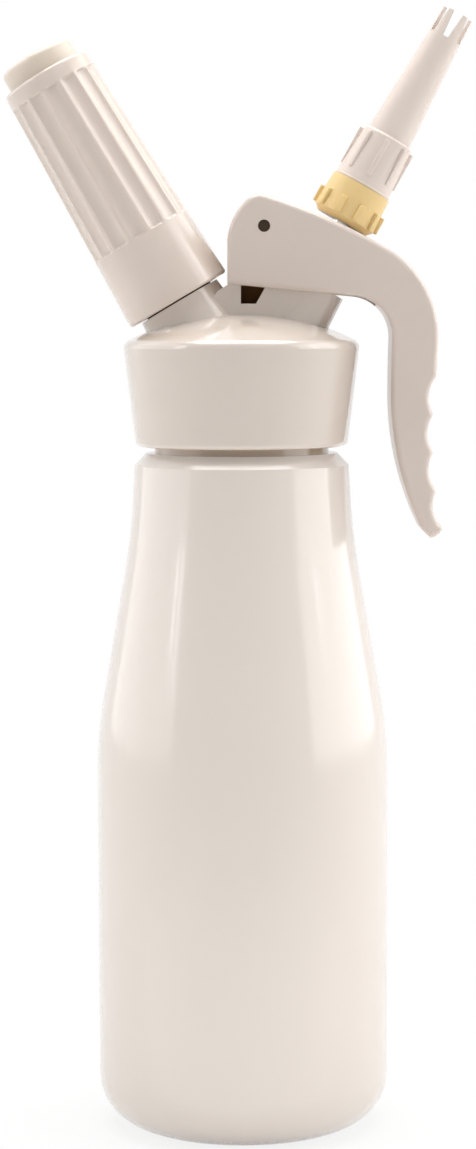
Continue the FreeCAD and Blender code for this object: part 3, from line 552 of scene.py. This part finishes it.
def raised_bars(name, place, material, count, radius, start, size, edge):
    """Rounded bars that stand out in a ring from a turned wall: size is their rise, width and length."""
    rise, width, tall = size
    pattern = Pattern(
        f"{name}_rule", Count=count, Radius=radius, Start=start, Rise=rise, Width=width, Length=tall)
    depth = pattern.input("Rise") * 2.0
    box = pattern.add("GeometryNodeMeshCube", inputs={
        "Size": pattern.point(depth, pattern.input("Width"), pattern.input("Length"))})
    line = pattern.add("GeometryNodeMeshLine", inputs={"Count": pattern.input("Count")})
    angle = pattern.add("GeometryNodeInputIndex") * FULL_TURN / pattern.input("Count")
    middle = pattern.input("Start") + pattern.input("Length") / 2.0
    ring = pattern.moved(line, pattern.point(
        angle.cosine() * pattern.input("Radius"), angle.sine() * pattern.input("Radius"), middle))
    turn = pattern.add("ShaderNodeCombineXYZ", inputs={"Z": angle})
    outwards = pattern.add("FunctionNodeEulerToRotation", inputs={"Euler": turn})
    bars = pattern.add("GeometryNodeInstanceOnPoints", inputs={
        "Points": ring, "Instance": box, "Rotation": outwards})
    pattern.finish(bars, material)
    mesh = pattern.made(name, place)
    rounding = {"offset": edge, "segments": 3, "profile": 0.5, "affect": "EDGES", "offset_type": "OFFSET"}
    shape = bmesh.new()
    shape.from_mesh(mesh)
    bmesh.ops.bevel(shape, geom=shape.edges[:], **rounding)
    shape.to_mesh(mesh)
    shape.free()
    return soft_shaded(mesh, math.radians(50))


# Panels of sizes and colours


def length(name, description, value):
    return FloatProperty(
        name=name, description=description, default=value, min=0.0, unit="LENGTH", precision=5)


def number(name, description, value):
    return FloatProperty(name=name, description=description, default=value)


def slant(name, description, degrees):
    return FloatProperty(name=name, description=description, default=math.radians(degrees), subtype="ANGLE")


def how_many(name, description, value):
    return IntProperty(name=name, description=description, default=value, min=3)


def tint(name, description, value):
    return FloatVectorProperty(
        name=name, description=description, default=value, min=0.0, max=1.0, subtype="COLOR")


class DispenserColours(PropertyGroup):
    enamel: tint("Bottle", "Paint of the bottle", (0.745, 0.672, 0.61))
    # painted shade: warm brown on the neck for the shade in the gap under the head
    neck: tint("Neck", "Lacquer on the bottle's neck", (0.69, 0.53, 0.385))
    head: tint("Head", "Plastic of the head", (0.69, 0.605, 0.535))
    # painted shadow: the dark brown painted into the bracket's pocket
    pocket: tint("Pocket", "Shaded plastic in the bracket's pocket", (0.55, 0.34, 0.15))
    gasket: tint("Gasket", "Rubber between the bottle and the head", (0.66, 0.64, 0.60))
    lever: tint("Lever", "Plastic of the lever", (0.685, 0.593, 0.53))
    sleeve: tint("Sleeve", "Plastic of the charger holder's grip", (0.71, 0.61, 0.535))
    cup: tint("Cup", "Plastic of the charger holder's cup", (0.745, 0.65, 0.55))
    nut: tint("Nut", "Straw yellow plastic of the nozzle holder", (0.83, 0.61, 0.275))
    tip: tint("Tip", "Milky plastic of the piping tip", (0.77, 0.67, 0.60))


class DispenserThreads(PropertyGroup):
    neck_pitch: length("Neck pitch", "Climb of the bottle's thread in one turn", 4.0 * MM)
    neck_depth: length("Neck ridge", "Height of the ridge on the bottle's neck", 1.0 * MM)
    drum_pitch: length("Drum pitch", "Climb of the charger holder's thread in one turn", 2.0 * MM)
    drum_depth: length("Drum ridge", "Height of the ridge on the connector's drum", 0.3 * MM)
    stud_pitch: length("Stud pitch", "Climb of the piping tip's thread in one turn", 1.5 * MM)
    stud_depth: length("Stud ridge", "Height of the ridge on the nozzle holder's stud", 0.3 * MM)


class DispenserGrips(PropertyGroup):
    flutes: how_many("Flutes", "Flutes round the charger holder", 16)
    flute_radius: length("Flute radius", "Radius of each flute's hollow", 4.6 * MM)
    flute_depth: length("Flute depth", "Depth of each flute", 0.85 * MM)
    flute_foot: length("Plain foot", "Length of the sleeve below the flutes", 20.5 * MM)
    flute_top: length("Plain top", "Length of the sleeve above the flutes", 4.7 * MM)
    bars: how_many("Bars", "Raised bars round the nozzle holder", 10)
    bar_length: length("Bar length", "Length of a bar on the nozzle holder", 4.6 * MM)
    bar_width: length("Bar width", "Width of a bar on the nozzle holder", 1.4 * MM)
    bar_rise: length("Bar rise", "Height of a bar on the nozzle holder", 0.45 * MM)
    bar_start: length("Bar start", "Height of a bar's foot above the nozzle holder's foot", 1.7 * MM)
    ribs: how_many("Ribs", "Ribs round the piping tip", 8)
    rib_radius: length("Rib radius", "Radius over the ribs of the piping tip", 8.45 * MM)
    rib_rise: length("Rib rise", "Height of a rib over the wall of the piping tip", 1.1 * MM)
    rib_width: length("Rib width", "Width of a rib on the piping tip", 1.35 * MM)
    rib_length: length("Rib length", "Length of a rib on the piping tip", 11.1 * MM)
    rib_start: length("Rib start", "Height of a rib's foot above the piping tip's foot", 2.85 * MM)


class DispenserStudio(PropertyGroup):
    camera_away: length("Camera distance", "From the bottle's axis to the camera, level", 817.9 * MM)
    camera_height: length("Camera height", "Height of the camera above the floor", 227.4 * MM)
    camera_across: number("Camera shift", "Metres to the right of the bottle's axis", -1.14 * MM)
    camera_pitch: slant("Camera pitch", "Downward tilt", 5.0)
    camera_roll: slant("Camera roll", "Turn about the view", -0.19)
    focal_pixels: number("Focal length in pixels", "At the picture's full height", 2917.0)
    picture_height: number("Picture height", "Pixels of the full frame", 1149.0)
    sensor: number("Sensor", "Long side of the sensor in millimetres", 36.0)
    room_light: number("Room light", "Level of the room round the object", 0.2)
    side_light: number("Side light", "Brightness of each large side lamp", 1.35)
    strip_light: number("Strip light", "Brightness of each narrow lamp", 11.0)
    top_light: number("Top light", "Brightness of the lamp overhead", 4.0)
    front_light: number("Front light", "Brightness of the lamp in front of and above the object", 0.3)
    table_light: number("Table light", "Brightness of the table before the object", 0.38)


def settings(context):
    scene = context.scene
    return (scene.dispenser_colours, scene.dispenser_threads, scene.dispenser_grips, scene.dispenser_studio)


class DispenserOperator(Operator):
    """Base of the operators that each dress one group of pieces"""

    bl_options = {"REGISTER", "UNDO"}

    def execute(self, context):
        self.build(*settings(context))
        return {"FINISHED"}


class DISPENSER_OT_bottle(DispenserOperator):
    """Paint the bottle and add the ridge of its neck thread"""

    bl_idname = "dispenser.bottle"
    bl_label = "Bottle"

    def build(self, colours, threads, grips, studio):
        points = corners("bottle")
        mouth = bottle_high.z
        around = np.hypot(points[:, 0], points[:, 1])
        neck = float(around[points[:, 2] > mouth - 1 * MM].max())
        ledge = float(points[around > neck + 1 * MM, 2].max())
        # the neck above the ledge is painted with the shade of the gap under the head
        paint = enamel("bottle_enamel", colours.enamel, 4 * MM, colours.neck, ledge)
        dress(paint, "bottle")
        mesh = thread("neck_thread", Matrix.Identity(4), paint, neck, ledge + 2 * MM, mouth - 1 * MM,
                      threads.neck_pitch, threads.neck_depth)
        put("neck_thread", mesh, "bottle", "white_paint", paint)


class DISPENSER_OT_head(DispenserOperator):
    """Finish the head and its gasket"""

    bl_idname = "dispenser.head"
    bl_label = "Head"

    def build(self, colours, threads, grips, studio):
        # the head's plastic carries a shadow painted into the bracket's pocket
        plastic = moulding("head_plastic", colours.head, 0.14, grain=0.1, coat=0.9, pocket=colours.pocket)
        dress(plastic, "head_body")
        dress(rubber("gasket_rubber", colours.gasket), "head_gasket")


class DISPENSER_OT_charger_holder(DispenserOperator):
    """Make the fluted sleeve of the charger holder and finish its cup"""

    bl_idname = "dispenser.charger_holder"
    bl_label = "Charger holder"

    def build(self, colours, threads, grips, studio):
        low, high = charger_line.span("charger_sleeve")
        foot = charger_line.radius("charger_sleeve", low, low + 2 * MM)
        top = charger_line.radius("charger_sleeve", high - 2.5 * MM, high - 1.0 * MM)
        cup = charger_line.radius("charger_cup", high + 1 * MM, high + 4 * MM)
        drum_wall = charger_line.radius("charger_cup", low, low + 1 * MM)
        inner_slope, inner_step = 3.5 * MM, low + 12.0 * MM
        foot_round, top_round = 0.9 * MM, 1.6 * MM
        flute_low, flute_high = low + grips.flute_foot, high - grips.flute_top
        rings, sides_per_flute = 14, 24
        lip = 0.25 * MM
        heights = [flute_low - 2 * lip, flute_low - lip, flute_low + lip, flute_low + 2 * lip]
        heights += [flute_low + (flute_high - flute_low) * ring / rings for ring in range(1, rings)]
        heights += [flute_high - 2 * lip, flute_high - lip, flute_high + lip, flute_high + 2 * lip]
        taper = (foot - top) / (high - low)
        outline = eased([
            (drum_wall, low),
            (foot, low, foot_round),
            *[(foot - taper * (height - low), height) for height in heights],
            (top, high, top_round),
            (cup, high),
            (cup, inner_step),
            (drum_wall, inner_step - inner_slope),
        ])
        blank = turned("sleeve_blank", outline, grips.flutes * sides_per_flute, Matrix.Identity(4))
        pattern = Pattern(
            "sleeve_flutes", Flutes=grips.flutes, Hollow=grips.flute_radius, Depth=grips.flute_depth,
            Low=flute_low, High=flute_high, Lip=lip, Inner=cup + 0.5 * MM)
        position = pattern.add("GeometryNodeInputPosition")
        spot = pattern.add("ShaderNodeSeparateXYZ", inputs={"Vector": position})
        radius = (spot["X"] * spot["X"] + spot["Y"] * spot["Y"]) ** 0.5
        angle = radius.maths("ARCTAN2", spot["Y"], spot["X"])
        half = math.pi / pattern.input("Flutes")
        from_middle = angle.maths("WRAP", angle, half, 0.0 - half)
        hollow, flute_lip = pattern.input("Hollow"), pattern.input("Lip")
        away = radius + hollow - pattern.input("Depth")
        reach = away * from_middle.sine()
        rise = (hollow ** 2.0 - reach * reach).most(0.0) ** 0.5
        cut = (radius - (away * from_middle.cosine() - rise)).most(0.0)
        start, end = pattern.input("Low"), pattern.input("High")
        above_start = pattern.ease(spot["Z"], start - flute_lip, start + flute_lip)
        above_end = pattern.ease(spot["Z"], end - flute_lip, end + flute_lip)
        outside = pattern.ease(radius, pattern.input("Inner"), pattern.input("Inner") + 0.2 * MM)
        share = (radius - cut * above_start * (1.0 - above_end) * outside) / radius
        cut_place = pattern.point(spot["X"] * share, spot["Y"] * share, spot["Z"])
        cut_mesh = pattern.moved(pattern.given, cut_place)
        plastic = moulding("sleeve_plastic", colours.sleeve, 0.2, grain=0.15, coat=0.6)
        pattern.finish(cut_mesh, plastic)
        mesh = pattern.made("fluted_sleeve", charger_line.matrix(), blank, math.radians(50))
        put("fluted_sleeve", mesh, "holder", "white_lever_plastic", plastic, "charger_sleeve")
        dress(moulding("cup_plastic", colours.cup, 0.32), "charger_cup")


class DISPENSER_OT_inlet(DispenserOperator):
    """Finish the charger, its needle, the connector and the check valve, and thread the connector's drum"""

    bl_idname = "dispenser.inlet"
    bl_label = "Inlet and charger"

    def build(self, colours, threads, grips, studio):
        brass = metal("turned_brass", (0.78, 0.62, 0.36), 0.2, 0.4, charger_line)
        steel = metal("needle_steel", (0.72, 0.72, 0.73), 0.12, 0.2, charger_line)
        zinc = metal("charger_zinc", (0.62, 0.62, 0.64), 0.26, 0.3, charger_line)
        dark = rubber("seal_rubber", (0.03, 0.03, 0.03))
        dress(brass, "inlet_connector", "inlet_nut", "check_valve_plug")
        dress(steel, "piercing_pin")
        closing_spring("check_valve_spring", charger_line, steel, "spring_steel")
        dress(zinc, "gas_charger")
        dress(dark, "inlet_gasket", "charger_seal", "check_valve_poppet")
        low, high = charger_line.span("inlet_connector")
        drum = charger_line.radius("inlet_connector", low, high)
        mesh = thread("drum_thread", charger_line.matrix(), brass, drum - 0.15 * MM, high - 7 * MM,
                      high - 0.5 * MM, threads.drum_pitch, threads.drum_depth)
        put("drum_thread", mesh, "head", "brass", brass)


class DISPENSER_OT_lever(DispenserOperator):
    """Finish the lever and its pin"""

    bl_idname = "dispenser.lever"
    bl_label = "Lever"

    def build(self, colours, threads, grips, studio):
        dress(moulding("lever_plastic", colours.lever, 0.3, seam=True), "lever")
        # painted shade: the steel pin is given a dark brown for the shade of its recess
        dress(metal("pin_steel", (0.06, 0.042, 0.03), 0.35, 0.3), "hinge_pin")


class DISPENSER_OT_valve(DispenserOperator):
    """Finish the valve's stem, guide, seals and spring"""

    bl_idname = "dispenser.valve"
    bl_label = "Valve"

    def build(self, colours, threads, grips, studio):
        steel = metal("stem_steel", (0.76, 0.75, 0.74), 0.1, 0.15, valve_line)
        wire = metal("spring_wire", (0.70, 0.69, 0.68), 0.18, 0.2)
        brass = metal("guide_brass", (0.78, 0.62, 0.36), 0.22, 0.4, valve_line)
        dark = rubber("valve_rubber", (0.03, 0.03, 0.03))
        dress(steel, "piston_stem", "seal_nut", "thrust_washer")
        closing_spring("return_spring", valve_line, wire, "spring_steel")
        dress(brass, "valve_sleeve", "guide_bush")
        dress(dark, "piston_o_ring", "valve_seal", "tip_seal")


class DISPENSER_OT_nozzle_holder(DispenserOperator):
    """Finish the yellow nozzle holder and add its bars and the ridge of its stud's thread"""

    bl_idname = "dispenser.nozzle_holder"
    bl_label = "Nozzle holder"

    def build(self, colours, threads, grips, studio):
        plastic = moulding("nut_plastic", colours.nut, 0.36)
        low, high = valve_line.span("nozzle_holder")
        stud = valve_line.radius("nozzle_holder", high - 1 * MM, high)
        dress(plastic, "nozzle_holder")
        mesh = thread("stud_thread", valve_line.matrix(), plastic, stud - 0.1 * MM, high - 6 * MM,
                      high - 0.3 * MM, threads.stud_pitch, threads.stud_depth)
        put("stud_thread", mesh, "valve", "yellow_plastic", plastic)
        foot, wall = low + grips.bar_start, valve_line.radius("nozzle_holder", low, high) - grips.bar_rise
        bar = (grips.bar_rise, grips.bar_width, grips.bar_length)
        size = tuple(side * factor for side, factor in zip(bar, BAR_COVER))
        mesh = raised_bars(
            "holder_bars", valve_line.matrix(), plastic, grips.bars, wall, foot, size, 0.2 * MM)
        put("holder_bars", mesh, "valve", "yellow_plastic", plastic)


class DISPENSER_OT_piping_tip(DispenserOperator):
    """Finish the milky piping tip and add its ribs and the lip under it"""

    bl_idname = "dispenser.piping_tip"
    bl_label = "Piping tip"

    def build(self, colours, threads, grips, studio):
        plastic = milky("tip_plastic", colours.tip)
        dress(plastic, "nozzle_tip")
        low, high = valve_line.span("nozzle_tip")
        base = low + grips.rib_start
        wall = grips.rib_radius - grips.rib_rise
        size = (grips.rib_rise, grips.rib_width, grips.rib_length)
        mesh = raised_bars(
            "tip_ribs", valve_line.matrix(), plastic, grips.ribs, wall, base, size, 0.22 * MM)
        put("tip_ribs", mesh, "tip", "clear_white_plastic", plastic)
        skirt = valve_line.radius("nozzle_tip", low, low + 1 * MM)
        inner, foot, bulge, top = skirt - 1.4 * MM, low - 0.28 * MM, low + 0.3 * MM, low + 0.6 * MM
        outline = eased([
            (inner, foot),
            (skirt, foot, 0.12 * MM),
            (skirt + 0.1 * MM, bulge, 0.1 * MM),
            (skirt - 0.2 * MM, top),
            (inner, top),
        ])
        mesh = turned("tip_lip", outline, 96, valve_line.matrix())
        put("tip_lip", mesh, "tip", "clear_white_plastic", plastic)


class DISPENSER_OT_studio(DispenserOperator):
    """Set the floor, the lamps, the room and the camera"""

    bl_idname = "dispenser.studio"
    bl_label = "Studio"

    def build(self, colours, threads, grips, studio):
        self.floor()
        self.room(studio.room_light)
        sides, place = SIDE_LAMP
        for name, (side, share) in SIDE_SHARES.items():
            mirrored = Vector((place.x * side, place.y, place.z))
            self.lamp(f"{name}_lamp", studio.side_light * share, sides, mirrored, level=True)
        for strip, (degrees, share) in enumerate(STRIPS):
            angle = math.radians(degrees)
            place = Vector((STRIPS_AWAY * math.sin(angle), -STRIPS_AWAY * math.cos(angle), STRIPS_HEIGHT))
            self.lamp(f"strip_lamp_{strip}", studio.strip_light * share, STRIP_SIZE, place)
        self.lamp("top_lamp", studio.top_light, *TOP_LAMP)
        self.lamp("front_lamp", studio.front_light, *FRONT_LAMP)
        facing_up = (math.pi, 0.0, 0.0)
        self.lamp("table_glow", studio.table_light, *TABLE_GLOW).rotation_euler = facing_up
        self.camera(studio)
        bpy.context.scene.view_settings.view_transform = "Standard"

    def floor(self):
        surface = Surface("floor_white")
        ray = surface.add("ShaderNodeLightPath")
        seen = ray["Is Camera Ray"].most(ray["Is Glossy Ray"]).most(ray["Is Transmission Ray"])
        white = surface.add("ShaderNodeBsdfDiffuse", inputs={"Color": rgba((0.85, 0.85, 0.85))})
        glow = surface.add("ShaderNodeEmission", inputs={"Color": rgba((1, 1, 1)), "Strength": 1.0})
        away = surface.vector("LENGTH", surface.place, output="Value")
        near_share = 0.84
        share = surface.ease(away, 0.05, 0.2) * (1.0 - near_share) + near_share
        lit = surface.add("ShaderNodeMixShader", inputs={0: seen * share, 1: white, 2: glow})
        surface.add("ShaderNodeOutputMaterial", inputs={"Surface": lit})
        shape = bmesh.new()
        bmesh.ops.create_circle(shape, cap_ends=True, segments=64, radius=6.0)
        mesh = bpy.data.meshes.new("floor")
        shape.to_mesh(mesh)
        shape.free()
        floor = bpy.data.objects.new("floor", mesh)
        bpy.context.scene.collection.objects.link(floor)
        mesh.materials.append(surface.material)
        mesh.transform(Matrix.Translation((0, 0, bottle_low.z - 0.05 * MM)))

    def room(self, level):
        world = bpy.data.worlds.new("white_room")
        bpy.context.scene.world = world
        world.use_nodes = True
        graph = Graph(world.node_tree)
        ray = graph.add("ShaderNodeLightPath")
        seen = ray["Is Camera Ray"].most(ray["Is Glossy Ray"]).most(ray["Is Transmission Ray"])
        strength = seen * (1.0 - level) + level
        light = graph.add("ShaderNodeBackground", inputs={"Color": rgba((1, 1, 1)), "Strength": strength})
        graph.add("ShaderNodeOutputWorld", inputs={"Surface": light})

    def lamp(self, name, brightness, sides, place, level=False):
        """A flat lamp of an even brightness that faces the object, or stands upright where it is level."""
        light = bpy.data.lights.new(name, "AREA")
        light.shape = "RECTANGLE"
        light.size, light.size_y = sides
        light.energy = brightness * math.pi * sides[0] * sides[1]
        lamp = bpy.data.objects.new(name, light)
        lamp.location = place
        lamp.visible_camera = False
        aim = Vector((0, 0, place.z if level else LAMPS_AIM)) - place
        lamp.rotation_euler = aim.to_track_quat("-Z", "Y").to_euler()
        bpy.context.scene.collection.objects.link(lamp)
        return lamp

    def camera(self, studio):
        data = bpy.data.cameras.new("camera")
        data.sensor_width = studio.sensor
        data.lens = studio.sensor * studio.focal_pixels / studio.picture_height
        data.clip_start = 0.05
        data.clip_end = 30.0
        camera = bpy.data.objects.new("camera", data)
        place = Matrix.Translation((studio.camera_across, -studio.camera_away, studio.camera_height))
        tilt = Matrix.Rotation(math.radians(90) - studio.camera_pitch, 4, "X")
        roll = Matrix.Rotation(studio.camera_roll, 4, "Z")
        camera.matrix_world = place @ tilt @ roll
        bpy.context.scene.collection.objects.link(camera)
        bpy.context.scene.camera = camera


class DISPENSER_PT_sidebar(Panel):
    """The dispenser's pieces and its studio"""

    bl_idname = "DISPENSER_PT_sidebar"
    bl_label = "Cream Dispenser"
    bl_space_type = "VIEW_3D"
    bl_region_type = "UI"
    bl_category = "Dispenser"

    def draw(self, context):
        for operator in OPERATORS:
            self.layout.operator(operator.bl_idname)
        for group in settings(context):
            column = self.layout.column()
            for name in group.bl_rna.properties.keys():
                if name not in ("rna_type", "name"):
                    column.prop(group, name)


GROUPS = {
    "dispenser_colours": DispenserColours,
    "dispenser_threads": DispenserThreads,
    "dispenser_grips": DispenserGrips,
    "dispenser_studio": DispenserStudio,
}
OPERATORS = (
    DISPENSER_OT_bottle,
    DISPENSER_OT_head,
    DISPENSER_OT_charger_holder,
    DISPENSER_OT_inlet,
    DISPENSER_OT_lever,
    DISPENSER_OT_valve,
    DISPENSER_OT_nozzle_holder,
    DISPENSER_OT_piping_tip,
    DISPENSER_OT_studio,
)


def register():
    for part in (*GROUPS.values(), *OPERATORS, DISPENSER_PT_sidebar):
        bpy.utils.register_class(part)
    for name, group in GROUPS.items():
        setattr(bpy.types.Scene, name, PointerProperty(type=group))


def unregister():
    for name in GROUPS:
        delattr(bpy.types.Scene, name)
    for part in reversed((*GROUPS.values(), *OPERATORS, DISPENSER_PT_sidebar)):
        bpy.utils.unregister_class(part)


def main():
    register()
    for operator in OPERATORS:
        group, name = operator.bl_idname.split(".")
        getattr(getattr(bpy.ops, group), name)()


if __name__ == "__main__":
    main()
